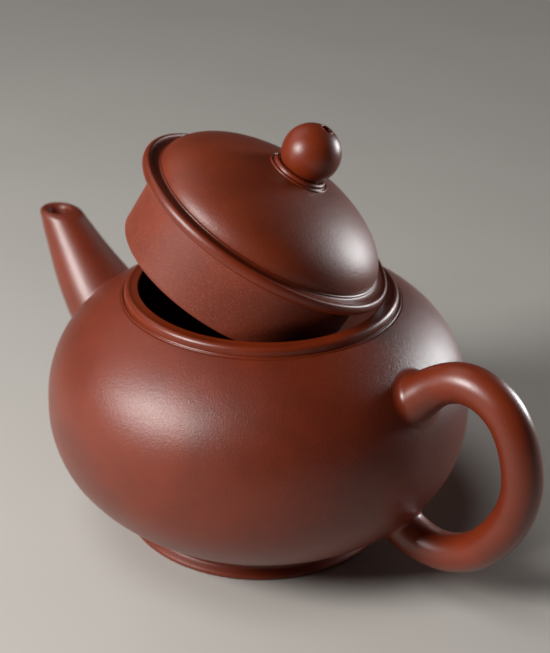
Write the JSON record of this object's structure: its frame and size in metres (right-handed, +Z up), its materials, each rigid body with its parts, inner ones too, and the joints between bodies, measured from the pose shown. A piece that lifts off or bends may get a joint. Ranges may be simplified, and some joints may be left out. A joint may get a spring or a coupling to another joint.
{
  "type": "teapot",
  "caption": "Small squat unglazed clay teapot with a straight tapered spout, ear handle and a deep-flanged domed lid with a ball knob, propped open.",
  "frame": {"origin": "on the body's axis, in the plane the foot ring stands on", "axes": "+Z up along the body's axis, +X toward the handle, -X toward the spout"},
  "size_m": [0.1178, 0.078, 0.0776],
  "materials": {
    "burnished_clay": "satin",
    "raw_clay": "matte"
  },
  "bodies": {
    "pot": {"body_wall": "burnished_clay", "shoulder_disc": "burnished_clay", "mouth_rim": "burnished_clay", "base_disc": "raw_clay", "foot_ring": "burnished_clay", "spout": "burnished_clay", "ball_strainer": "raw_clay", "handle": "burnished_clay"},
    "lid": {"lid_dome": "burnished_clay", "lid_rim": "burnished_clay", "lid_flange": "raw_clay", "knob_collar": "burnished_clay", "knob": "burnished_clay"}
  },
  "joints": [
    {"name": "lid_tip", "type": "hinge", "parent": "pot", "child": "lid", "pos_m": [0.0175, 0.01272, 0.05239], "axis": [-0.5878, 0.809, 0], "range_deg": [-29.26, 45]}
  ]
}
